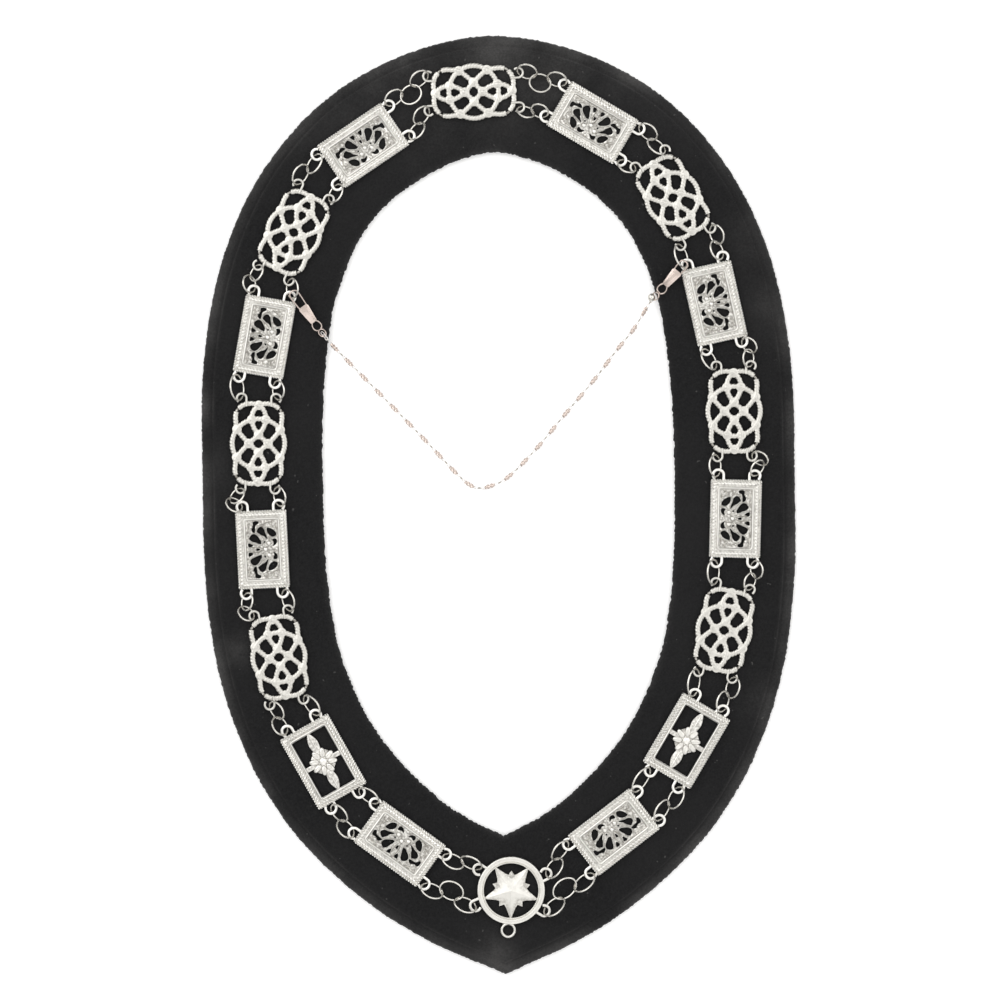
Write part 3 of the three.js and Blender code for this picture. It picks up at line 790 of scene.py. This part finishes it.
def add_frame(form, size, bands):
    """The flat frame of a plate, and the twisted and plain bands on it."""
    window = rectangle(size.window_length, size.window_width)
    base = rectangle(size.length - 2 * FRAME_BASE_INSET, size.width - 2 * FRAME_BASE_INSET)
    form.add(pierced(base, [window], Panel(0, FRAME_BASE, FRAME_EDGE)))
    for band in bands:
        line = rectangle(size.length - 2 * band.inset, size.width - 2 * band.inset, BAND_CORNER)
        if band.pitch:
            path = lifted(evenly(line, band.pitch / STEPS_PER_TWIST, True), FRAME_BASE)
            section = rope_sections(path, band.width, band.height, band.pitch, band.sides, band.depth)
        else:
            path = lifted(evenly(line, PLAIN_SPACING, True), FRAME_BASE)
            section = oval(band.width, band.height, band.sides)
        form.add(sweep(path, section, True))


def mirrored(points):
    return [(-x, y) for x, y in points]


def both(half, tip=()):
    """A half outline, its tip if it has one, and the half mirrored across the X axis."""
    return list(half) + list(tip) + [(x, -y) for x, y in half[::-1]]


def add_stroke(form, points, stroke):
    """A raised line that thins out at both ends."""
    path = evenly(curve_through(points, CURVE_SPACING), CURVE_SPACING)
    form.add(sweep(lifted(path, stroke.z), tapered_sections(len(path), stroke)))


def floral_form():
    form = Form()
    add_frame(form, FLORAL, FLORAL_BANDS)
    holes = [curve_through(LEAF_MIDDLE, LEAF_MIDDLE_SPACING, True)]
    for half in LEAF_OPENINGS:
        for side in (half, mirrored(half)):
            holes.append(curve_through(side, LEAF_OPENING_SPACING, True))
    outline = rectangle(FLORAL.window_length + LEAF_PANEL_LAP, FLORAL.window_width + LEAF_PANEL_LAP)
    form.add(pierced(outline, holes, LEAF_PANEL))
    for points, width in LEAF_RIBS:
        for side in (points, mirrored(points)):
            add_stroke(form, side, Stroke(LEAF_RIB_SHARE * width, LEAF_RIB_HEIGHT, LEAF_RIB_Z))
    add_stroke(form, LEAF_STEM, Stroke(LEAF_STEM_WIDTH, LEAF_RIB_HEIGHT, LEAF_RIB_Z))
    for boss in LEAF_BOSSES:
        for side in (1, -1):
            form.add(dome(side * boss.x, boss.y, LEAF_BOSS_Z, boss.radius, boss.height))
    for boss in LEAF_MIDDLE_BOSSES:
        form.add(dome(boss.x, boss.y, LEAF_BOSS_Z, boss.radius, boss.height))
    add_end_lugs(form, "floral")
    return form


def emblem_form():
    """An openwork plate with a rosette of eight petals held by a bar across it and two leaves."""
    form = Form()
    add_frame(form, EMBLEM, EMBLEM_BANDS)
    bar = rectangle(BAR_WIDTH, EMBLEM.window_width + 2 * BAR_LAP, BAR_CORNER)
    form.add(pierced(bar, [], BAR_PANEL))
    tip = EMBLEM.window_length / 2 + LEAF_TIP_LAP
    blade = both(LEAF_BLADE, [(tip, 0)])
    for side in (1, -1):
        leaf = curve_through([(side * x, y) for x, y in blade], LEAF_BLADE_SPACING, True)
        form.add(pierced(leaf, [], LEAF_BLADE_PANEL))
        add_stroke(form, [(side * x, 0) for x in (*LEAF_SPINE_AT, tip)], LEAF_SPINE)
        for start in LEAF_VEINS_AT:
            for up in (1, -1):
                add_stroke(form, [(side * (start + x), up * y) for x, y in LEAF_VEIN_REACH], LEAF_VEIN)
    disc = [polar(ROSETTE_DISC, turn) for turn in range(0, 360, ROSETTE_DISC_STEP)]
    form.add(pierced(disc, [], ROSETTE_PANEL))
    step = 360 / ROSETTE_PETALS
    for k in range(ROSETTE_PETALS):
        turn = step * (k + 0.5)
        add_stroke(form, [polar(radius, turn) for radius in PETAL_REACH], PETAL)
        for bow in (-PETAL_LINE_BOW, PETAL_LINE_BOW):
            line = [polar(r, turn + b) for r, b in zip(PETAL_LINE_REACH, (0, bow, 0))]
            add_stroke(form, line, PETAL_LINE)
    boss = ROSETTE_BOSS
    form.add(dome(boss.x, boss.y, ROSETTE_BOSS_Z, boss.radius, boss.height))
    for k in range(ROSETTE_PETALS):
        bead = polar(ROSETTE_BEAD_AT, step * k)
        size = (ROSETTE_BEAD, ROSETTE_BEAD, ROSETTE_BEAD_RINGS, ROSETTE_BEAD_SIDES)
        form.add(dome(*bead, ROSETTE_BEAD_Z, *size))
    add_end_lugs(form, "emblem")
    return form


def crossings(paths):
    """Where closed or open flat paths cross: each as two visits of path and arc length."""
    segments = []
    for which, path in enumerate(paths):
        arc = arc_lengths(path)
        segments += [(which, arc[i], path[i], path[i + 1] - path[i]) for i in range(len(path) - 1)]
    found = []
    for i, (w1, s1, p, r) in enumerate(segments):
        for w2, s2, q, t in segments[i + 2:]:
            cross = r[0] * t[1] - r[1] * t[0]
            if abs(cross) < TINY or np.abs(p - q).max() > CROSSING_REACH:
                continue
            u = ((q[0] - p[0]) * t[1] - (q[1] - p[1]) * t[0]) / cross
            v = ((q[0] - p[0]) * r[1] - (q[1] - p[1]) * r[0]) / cross
            if 0 <= u < 1 and 0 <= v < 1:
                found.append(((w1, s1 + u * np.linalg.norm(r)), (w2, s2 + v * np.linalg.norm(t))))
    return found


def over_under(paths):
    """Heights along each path that pass over and under by turns."""
    found = crossings(paths)
    visits = sorted((w, s, k, end) for k, pair in enumerate(found) for end, (w, s) in enumerate(pair))
    height = {}
    waiting = [0]
    order = {w: [v for v in visits if v[0] == w] for w in range(len(paths))}
    done = set()
    while len(done) < len(paths):
        w = waiting.pop() if waiting else min(set(range(len(paths))) - done)
        if w in done:
            continue
        done.add(w)
        known = [(i, height[v[2:]]) for i, v in enumerate(order[w]) if v[2:] in height]
        first = known[0][1] * (-1) ** known[0][0] if known else 1
        for i, (_, _, k, end) in enumerate(order[w]):
            height.setdefault((k, end), first * (-1) ** i)
            height.setdefault((k, 1 - end), -height[(k, end)])
            waiting.append(found[k][1 - end][0])
    out = []
    for w, path in enumerate(paths):
        arc = arc_lengths(path)
        z = np.zeros(len(path))
        for _, s, k, end in order[w]:
            z += height[(k, end)] * np.exp(-(((arc - s) / KNOT_WAVE_REACH) ** 2))
        out.append(z * KNOT_WAVE)
    return out


def knot_form():
    """Four strands and a ring that pass over and under, with their crossings filled."""
    form = Form()
    quarters = [(sx, sy) for sx in (1, -1) for sy in (1, -1)]
    strands = [[(sx * x, sy * y) for x, y in KNOT_STRAND] for sx, sy in quarters]
    paths = [evenly(curve_through(strand, CURVE_SPACING), KNOT_SPACING) for strand in strands]
    turn = np.linspace(0, 2 * np.pi, KNOT_RING_STEPS)
    ring = np.column_stack([KNOT_RING[0] * np.cos(turn), KNOT_RING[1] * np.sin(turn)])
    paths.append(ring)
    for path, wave in zip(paths, over_under(paths)):
        closed = path is ring
        if closed:
            path, wave = path[:-1], wave[:-1]
        section = rope_sections(path, KNOT_WIDTH, KNOT_HEIGHT, KNOT_TWIST, WIRE_SIDES, KNOT_TWIST_DEPTH)
        form.add(sweep(lifted(path, KNOT_MIDDLE + wave), section, closed))
    for (which, along), _ in crossings(paths):
        arc = arc_lengths(paths[which])
        x, y = (np.interp(along, arc, paths[which][:, k]) for k in range(2))
        disc = np.array([polar(KNOT_WEB, degrees) for degrees in range(0, 360, KNOT_WEB_STEP)])
        form.add(pierced(disc + (x, y), [], KNOT_WEB_PANEL))
    for sx, sy in quarters:
        add_stroke(form, [(sx * x, sy * y) for x, y in KNOT_BRIDGE], KNOT_BRIDGE_STROKE)
    add_end_lugs(form, "knot")
    return form


def star_form():
    """A five-point star whose ten facets rise to its middle."""
    n = STAR_CORNERS
    outline = [polar(STAR_WAIST if k % 2 else STAR_TIP, STAR_TURN + STAR_STEP * k) for k in range(n)]
    low = [(x, y, STAR_BOTTOM) for x, y in outline]
    edge = [(x, y, STAR_WAIST_Z if k % 2 else STAR_TIP_Z) for k, (x, y) in enumerate(outline)]
    verts = low + edge + [(0, 0, STAR_PEAK)]
    faces = [[k, (k + 1) % n, n + (k + 1) % n, n + k] for k in range(n)]
    faces += [[n + k, n + (k + 1) % n, 2 * n] for k in range(n)]
    faces.append(list(range(n))[::-1])
    return np.array(verts), faces


def medallion_form():
    form = Form()
    form.add(lathe(MEDALLION_BAND, MEDALLION_SIDES))
    form.add(star_form())
    for k in range(STAR_ARMS):
        waist = STAR_TURN + STAR_STEP * (1 + 2 * k)
        rays = [polar(radius, waist + turn) for turn, radius in STAR_RAYS]
        form.add(pierced(rays, [], STAR_RAY_PANEL))
    lug = LUGS["medallion"]
    for angle in MEDALLION_LUG_ANGLES.values():
        form.add_moved(lug_form(lug, -1), angle, *polar(lug.x, angle), LUG_UP)
    loop = JEWEL_LOOP
    path = [polar(loop.radius, turn) for turn in range(0, 360, JEWEL_LOOP_STEP)]
    wire = sweep(lifted(path, 0), oval(loop.wire, loop.wire, JEWEL_LOOP_SIDES), True)
    form.add_moved(wire, 0, *polar(loop.distance, loop.angle), loop.z)
    return form


def lug_place(plate, key):
    kind = plate.name.split("_")[0]
    lug = LUGS[kind]
    if kind == "medallion":
        local = polar(lug.x, MEDALLION_LUG_ANGLES[key])
    else:
        local = (lug.x if "next" in key else -lug.x, lug.y if "out" in key else -lug.y)
    return turned((*local, 0), plate.angle) + (plate.x, plate.y, LUG_Z)


def ring_between(start, stop, side, lean):
    """The place and size of one leaning ring between two hooking points."""
    along = stop - start
    chord = float(np.linalg.norm(along))
    along = along / chord
    flat = side * math.cos(math.radians(lean))
    across = np.array([-along[1] * flat, along[0] * flat, math.sin(math.radians(lean))])
    half_length = max(chord / math.sqrt(3), SMALL_RING_RADIUS)
    half_width = min(half_length, RING_RADIUS)
    rise = half_width * math.sqrt(1 - (chord / half_length / 2) ** 2)
    return Ring((start + stop) / 2 + across * rise, along, across, half_length, half_width)


def ring_run(start, stop, count, first_side):
    """Rings from one lug to the next, each hooked through its neighbour."""
    step = (stop - start) / count
    joints = [start + step * k for k in range(count + 1)]
    size = float(np.linalg.norm(step))
    if count == 2 and size < SHORT_CHORD:
        joints[1] = joints[1] + unit(np.array([-step[1], step[0], 0])) * math.sqrt(SHORT_CHORD**2 - size**2)
    rings = []
    for k in range(count):
        along = unit(joints[k + 1] - joints[k]) * RING_HOOK * RING_WIRE
        begin = joints[k] - (along if k else 0)
        end = joints[k + 1] + (along if k < count - 1 else 0)
        lean = MIDDLE_LEAN if 0 < k < count - 1 else RING_LEAN
        rings.append(ring_between(begin, end, first_side * (-1) ** k, lean))
    return rings


def ring_shape(ring):
    turn = 2 * np.pi * np.arange(RING_STEPS) / RING_STEPS
    path = np.stack([np.cos(turn) * ring.half_length, np.sin(turn) * ring.half_width, 0 * turn], 1)
    verts, faces = sweep(path, oval(RING_WIRE_SHOWN, RING_WIRE_SHOWN, WIRE_SIDES), True)
    normal = np.cross(ring.along, ring.across)
    return ring.centre + verts @ np.stack([ring.along, ring.across, normal]), faces


def oriented(shape, at, along):
    """A shape made along +X, put at a point with its +X along a direction and its top up."""
    verts, faces = shape
    across = unit(np.cross(UP, along))
    return at + verts @ np.stack([along, across, np.cross(along, across)]), faces


def twisted_bar():
    """A bar along +X, cut with a twist and rounded at its ends."""
    x = np.linspace(-CHAIN_BAR / 2, CHAIN_BAR / 2, CHAIN_BAR_STEPS)
    path = np.column_stack([x, 0 * x, 0 * x])
    round_end = 1 - np.abs(2 * x / CHAIN_BAR) ** CHAIN_BAR_BLUNT
    taper = CHAIN_BAR_END + (1 - CHAIN_BAR_END) * round_end
    size = (CHAIN_BAR_WIDTH, CHAIN_BAR_HEIGHT)
    section = rope_sections(path, *size, CHAIN_TWIST, CHAIN_BAR_SIDES, CHAIN_TWIST_DEPTH)
    return sweep(path, section * taper[:, None, None])


def small_link(link, side=1):
    """An oval link along +X, leaning about its length to one side."""
    turn = 2 * np.pi * np.arange(LINK_STEPS) / LINK_STEPS
    half_length = (link.length - link.wire) / 2
    half_width = (link.width - link.wire) / 2
    path = np.stack([np.cos(turn) * half_length, np.sin(turn) * half_width, 0 * turn], 1)
    verts, faces = sweep(path, oval(link.wire, link.wire, LINK_SIDES), True)
    lean = math.radians(side * link.lean)
    y, z = verts[:, 1].copy(), verts[:, 2].copy()
    verts[:, 1] = math.cos(lean) * y - math.sin(lean) * z
    verts[:, 2] = math.sin(lean) * y + math.cos(lean) * z
    return verts, faces


def chain_form():
    """Bars with an eye at each end, a small upright link between each pair, and loose links at both ends."""
    form = Form()
    route = curve_through(CHAIN_ROUTE, steps=CHAIN_STEPS)
    arc = arc_lengths(route)
    count = round(arc[-1] / CHAIN_PITCH)
    pitch = arc[-1] / count

    def add(place, reach, shape, look):
        ends = [[np.interp(s, arc, route[:, k]) for k in range(3)] for s in (place - reach, place + reach)]
        before, after = np.array(ends)
        form.add(oriented(shape, (before + after) / 2, unit(after - before)), look)

    for k in range(1, count):
        add(k * pitch, CHAIN_BAR / 2, twisted_bar(), 0)
        for side in (1, -1):
            eye = k * pitch + side * (CHAIN_BAR / 2 + BAR_EYE_PAST)
            add(eye, BAR_EYE.reach, small_link(BAR_EYE, -side), 1)
    for k in range(count):
        add((k + 0.5) * pitch, UPRIGHT_LINK.reach, small_link(UPRIGHT_LINK), 2)
    for place in LOOSE_LINKS_AT:
        for end in (place, arc[-1] - place):
            add(end, LOOSE_LINK.reach, small_link(LOOSE_LINK), 1)
    return form


def clasp_wire(points):
    path = evenly(curve_through(points, CLASP_SPACING), CLASP_SPACING)
    return sweep(lifted(path, 0), oval(CLASP_WIRE, CLASP_WIRE, WIRE_SIDES))


def clasp_form(side, rings):
    """A flat tapered clasp with a wire bail at its wide end and a wire eye at the other."""
    ring = rings[CLASP_RINGS[side]][0]
    towards = 1 if side == "right" else -1
    lower = np.array(CLASP_LOWER[side], float)
    hook = math.radians(CLASP_HOOK)
    upper = ring.centre + ring.along * towards * ring.half_length * math.cos(hook)
    upper = upper + ring.across * ring.half_width * math.sin(hook)
    length = float(np.linalg.norm(upper - lower))
    along = (upper - lower) / length
    body_end = min(CLASP_BODY_END, length - CLASP_BAIL_ROOM)

    def from_body(x, y):
        return body_end + x, y

    local = Form()
    outline = both(CLASP_NECK + [from_body(*point) for point in CLASP_WIDE])
    local.add(pierced(outline, [], CLASP_PANEL))
    raised = both([CLASP_RAISED_NECK, from_body(*CLASP_RAISED_WIDE)])
    local.add(pierced(raised, [], CLASP_RAISED_PANEL))
    local.add(clasp_wire(both(CLASP_EYE)))
    bail = [from_body(*CLASP_BAIL_FOOT)] + [(length + x, y) for x, y in CLASP_BAIL]
    local.add(clasp_wire(both(bail, [(length + CLASP_BAIL_TIP, 0)])))
    form = Form()
    form.add(oriented((np.vstack(local.verts), local.faces), lower, along))
    end, following = CHAIN_ROUTE[:2] if side == "left" else CHAIN_ROUTE[:-3:-1]
    inward = unit(np.subtract(following, end))
    form.add(oriented(small_link(CLASP_RING), end + inward * CLASP_RING.reach, inward))
    if side == "right":
        size = (CLASP_BALL_RADIUS, CLASP_BALL_RADIUS, CLASP_BALL_RINGS, CLASP_BALL_SIDES)
        ball, faces = dome(0, 0, 0, *size)
        for half in (ball, ball * (1, 1, -1)):
            form.add((half + CLASP_BALL, faces), 1)
    return form


def velvet_edges():
    """Dense outer and inner edges, once round from the tip."""
    right = {
        "outer": [(s.outer_x, s.outer_y) for s in VELVET_SECTIONS],
        "inner": [(s.inner_x, s.inner_y) for s in VELVET_SECTIONS],
    }
    edges = {}
    for edge, points in right.items():
        around = points + mirrored(points[-2::-1])
        edges[edge] = curve_through(around, steps=VELVET_SPAN_STEPS)
    return edges["outer"], edges["inner"]


def rough(x, y, scale, seed):
    """Smooth noise over the collar at a given grain in millimetres."""
    return np.array([noise.noise(Vector((a / scale, b / scale, seed))) for a, b in zip(x, y)])


def ripples(points, table):
    """Noise of several grains added up over flat points."""
    return sum(row.height * rough(points[:, 0], points[:, 1], row.grain, row.seed) for row in table)


def velvet_object(material):
    """A closed ring of pile: up the outer edge, across the top and down the inner edge."""
    outer, inner = velvet_edges()
    n = len(outer)
    inward = unit(inner - outer)
    width = np.linalg.norm(inner - outer, axis=1)
    ragged_outer = ripples(outer, OUTER_RIPPLES)
    ragged_inner = ripples(inner, INNER_RIPPLES)
    start, stop = VELVET_OUTER[-1][0], VELVET_INNER[0][0]
    far = np.full(n, FAR)
    columns = []
    for inset, z in VELVET_OUTER:
        fade = max(0, 1 - inset / EDGE_FADE)
        columns.append((inset + fade * ragged_outer, np.full(n, z), np.full(n, inset), far))
    for k in range(1, VELVET_ACROSS):
        d = start + (width - start - stop) * k / VELVET_ACROSS
        columns.append((d, np.full(n, VELVET_TOP), d, width - d))
    for inset, z in VELVET_INNER:
        fade = max(0, 1 - inset / EDGE_FADE)
        columns.append((width - inset - fade * ragged_inner, np.full(n, z), far, np.full(n, inset)))
    depth, z, from_outer, from_inner = (np.stack(c, 1)[:-1].ravel() for c in zip(*columns))
    m = len(columns)
    starts, inwards = np.repeat(outer[:-1], m, axis=0), np.repeat(inward[:-1], m, axis=0)
    flat = starts + inwards * depth[:, None]
    z = z + np.where(z > TOP_FROM, np.minimum(ripples(flat, TOP_RIPPLES) - TOP_SINK, TOP_RISE), 0)
    form = Form()
    form.add((lifted(flat, z), grid_faces(n - 1, m, True, True)))
    obj = form.object("velvet_pile", material, sharp=VELVET_SHARP)
    layer = obj.data.attributes.new("greying", "FLOAT", "POINT")
    layer.data.foreach_set("value", velvet_greying(flat, from_outer, from_inner).astype(np.float32))
    return obj


def velvet_greying(flat, from_outer, from_inner):
    """How grey the pile is made: along the border, its seam, the inner edge and in spots."""
    x, y = flat[:, 0], flat[:, 1]
    greying = NAPE_GREY * np.clip((y - NAPE_FROM) / NAPE_REACH, 0, 1)
    for distance, table in ((from_outer, OUTER_GREY_BANDS), (from_inner, INNER_GREY_BANDS)):
        for row in table:
            greying = greying + row.strength * np.exp(-(((distance - row.place) / row.reach) ** row.power))
    greying = greying * np.clip(STREAK_MEAN + ripples(flat, STREAKS), *STREAK_RANGE)
    for cx, cy, reach, strength in VELVET_GREY_SPOTS:
        greying = greying + strength * np.exp(-(((x - cx) ** 2 + (y - cy) ** 2) / reach**2))
    return np.clip(greying, 0, 1)


def build_floor():
    floor = bpy.data.meshes.new("floor")
    h = FLOOR_HALF * MM
    z = FLOOR_Z * MM
    floor.from_pydata([(-h, -h, z), (h, -h, z), (h, h, z), (-h, h, z)], [], [(0, 1, 2, 3)])
    floor.materials.append(plain_floor_material())
    obj = bpy.data.objects.new("floor", floor)
    bpy.context.scene.collection.objects.link(obj)


def build_light():
    """A pale sky that the metal mirrors, and three large lamps."""
    world = bpy.data.worlds.new("studio")
    bpy.context.scene.world = world
    world.use_nodes = True
    tree = world.node_tree
    place = tree.nodes.new("ShaderNodeTexCoord")
    split = tree.nodes.new("ShaderNodeSeparateXYZ")
    ramp = tree.nodes.new("ShaderNodeValToRGB")
    for element, sky in zip(ramp.color_ramp.elements, SKY):
        element.position = sky.height
        element.color = sky.colour
    tree.links.new(place.outputs["Generated"], split.inputs["Vector"])
    tree.links.new(split.outputs["Z"], ramp.inputs["Fac"])
    tree.links.new(ramp.outputs["Color"], tree.nodes["Background"].inputs["Color"])
    tree.nodes["Background"].inputs["Strength"].default_value = 1
    for lamp in LIGHTS:
        data = bpy.data.lights.new(lamp.name, "AREA")
        data.energy = lamp.energy
        data.size = lamp.size
        light = bpy.data.objects.new(lamp.name, data)
        light.location = lamp.at
        light.rotation_euler = (-Vector(lamp.at)).to_track_quat("-Z", "Y").to_euler()
        bpy.context.scene.collection.objects.link(light)


def build_camera():
    camera_data = bpy.data.cameras.new("camera")
    camera_data.lens = CAMERA_LENS
    camera_data.clip_end = CAMERA_FAR
    camera = bpy.data.objects.new("camera", camera_data)
    camera.location = [v * MM for v in CAMERA_AT]
    camera.rotation_euler = (0, 0, math.radians(CAMERA_ROLL))
    bpy.context.scene.collection.objects.link(camera)
    bpy.context.scene.camera = camera
    bpy.context.scene.view_settings.view_transform = "Standard"


build_floor()
build_light()
build_camera()
velvet_look = velvet_material()
metals = {name: metal_material(name, metal) for name, metal in METALS.items()}

velvet = settle(velvet_object(velvet_look), "velvet_backing")

forms = {"floral": floral_form(), "knot": knot_form(), "emblem": emblem_form(), "medallion": medallion_form()}
for plate in PLATES:
    kind = plate.name.split("_")[0]
    form = forms[kind].placed(plate.angle, plate.x, plate.y, PLATE_Z)
    look = metals[PLATE_METALS[kind]]
    settle(form.object(plate.name + "_cast", look), plate.name)

rings = {}
for index, plate in enumerate(PLATES):
    following = PLATES[(index + 1) % len(PLATES)]
    for run, key, count, lean in (("outer", "out", plate.outer, 1), ("inner", "in", plate.inner, -1)):
        name = f"rings_{index + 1:02d}_{run}"
        first, last = lug_place(plate, key + "_next"), lug_place(following, key + "_last")
        rings[name] = ring_run(first, last, count, lean)
        form = Form()
        for ring in rings[name]:
            form.add(ring_shape(ring))
        settle(form.object(name + "_wire", metals["wire_silver"]), name)

chain_metals = [metals[name] for name in ("rose_silver", "link_silver", "wire_silver")]
chain = chain_form().object("safety_chain_links", *chain_metals)
settle(chain, "safety_chain")
for side in ("left", "right"):
    clasp_metals = (metals["rose_silver"], metals["wire_silver"])
    clasp = clasp_form(side, rings).object("clasp_" + side + "_flat", *clasp_metals)
    settle(clasp, "clasp_" + side)
